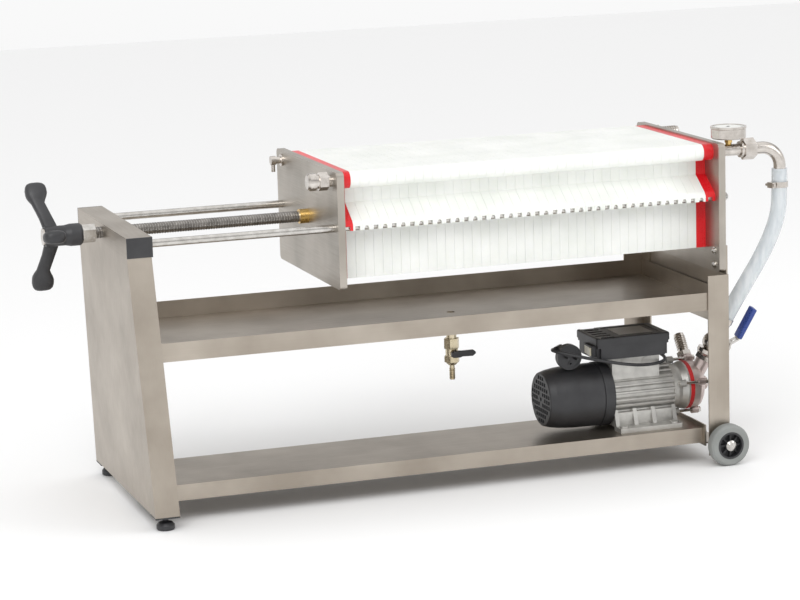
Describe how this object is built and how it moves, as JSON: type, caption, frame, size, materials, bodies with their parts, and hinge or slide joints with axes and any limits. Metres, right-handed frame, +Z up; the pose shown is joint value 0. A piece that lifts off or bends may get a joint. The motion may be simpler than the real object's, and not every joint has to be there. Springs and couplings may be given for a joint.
{
  "type": "plate filter press",
  "caption": "Free-standing plate filter press: a hand screw closes a pack of filter plates on two rods over a drip tray, fed by a pump on the shelf below.",
  "frame": {"origin": "on the floor under the middle of the machine's length and width", "axes": "+X along the rods from the closing handle to the pump end, -Y the operator's side with the pump, +Z up"},
  "size_m": [1.4484, 0.49, 0.6575],
  "materials": {
    "stainless": "brushed",
    "black_plastic": "matte",
    "stainless_bar": "smooth",
    "plate_steel": "brushed",
    "red_plastic": "satin",
    "white_plastic": "satin",
    "filter_sheet": "matte",
    "chrome": "polished",
    "brass": "satin",
    "clear_hose": "clear",
    "motor_casting": "cast",
    "red_gasket": "matte",
    "pump_casting": "cast",
    "cable": "matte",
    "ivory_plastic": "satin",
    "pale_brass": "satin",
    "grey_tyre": "matte",
    "valve_sleeve": "satin"
  },
  "bodies": {
    "frame": {"crossbar": "stainless", "crossbar_caps": "black_plastic", "near_left_leg": "stainless", "far_left_leg": "stainless", "left_panel": "stainless", "levelling_feet": "black_plastic", "near_right_post": "stainless", "far_right_post": "stainless", "end_panel": "stainless", "tray_rail": "stainless", "base_rail": "stainless", "drip_tray": "stainless", "bottom_shelf": "stainless", "guide_rods": "stainless_bar", "head_plate": "plate_steel", "head_end_frame": "red_plastic", "press_end_frame": "red_plastic", "filter_plates_press_half": "white_plastic", "filter_plates_head_half": "white_plastic", "filter_sheets": "filter_sheet", "inlet_pipe": "chrome", "gauge_stem": "brass", "pressure_gauge": "chrome", "union_nut": "chrome", "inlet_elbow": "chrome", "hose_tails": "chrome", "hose_clamps": "chrome", "clear_hose": "clear_hose", "fan_cowl": "black_plastic", "motor_housing": "motor_casting", "motor_foot": "motor_casting", "pump_bracket": "motor_casting", "pump_gasket": "red_gasket", "pump_cover": "pump_casting", "ball_valve": "chrome", "junction_box": "black_plastic", "junction_box_lid": "black_plastic", "power_cord": "cable", "plug": "black_plastic", "rocker_switch": "ivory_plastic", "drain_valve": "pale_brass", "tie_bolts": "stainless_bar", "wheel_bolts": "stainless_bar"},
    "press": {"press_plate": "plate_steel", "press_bush": "brass", "port_fittings": "chrome"},
    "screw": {"screw": "stainless_bar", "handle": "black_plastic", "handle_cap": "chrome"},
    "near_wheel": {"near_wheel_tyre": "grey_tyre", "near_wheel_hub": "black_plastic"},
    "far_wheel": {"far_wheel_tyre": "grey_tyre", "far_wheel_hub": "black_plastic"},
    "valve_lever": {"valve_lever": "valve_sleeve"},
    "drain_lever": {"drain_lever": "black_plastic"}
  },
  "joints": [
    {"name": "press_slide", "type": "slide", "parent": "frame", "child": "press", "axis": [-1, 0, 0], "range_m": [0, 0.32]},
    {"name": "screw_turn", "type": "hinge", "parent": "press", "child": "screw", "pos_m": [-0.4, 0, 0.522], "axis": [1, 0, 0], "continuous": true},
    {"name": "near_wheel_spin", "type": "hinge", "parent": "frame", "child": "near_wheel", "pos_m": [0.5725, -0.2255, 0.041], "axis": [0, 1, 0], "continuous": true},
    {"name": "far_wheel_spin", "type": "hinge", "parent": "frame", "child": "far_wheel", "pos_m": [0.5725, 0.2255, 0.041], "axis": [0, 1, 0], "continuous": true},
    {"name": "valve_lever_turn", "type": "hinge", "parent": "frame", "child": "valve_lever", "pos_m": [0.61956, -0.11885, 0.21131], "axis": [0.9075, 0.0926, -0.4097], "range_deg": [0, 90]},
    {"name": "drain_lever_turn", "type": "hinge", "parent": "frame", "child": "drain_lever", "pos_m": [0.084, -0.0248, 0.229], "axis": [0, 1, 0], "range_deg": [0, 90]}
  ],
  "couplings": [
    {"joint": "screw_turn", "follows": "press_slide", "rad_per_m": -1570.8}
  ]
}
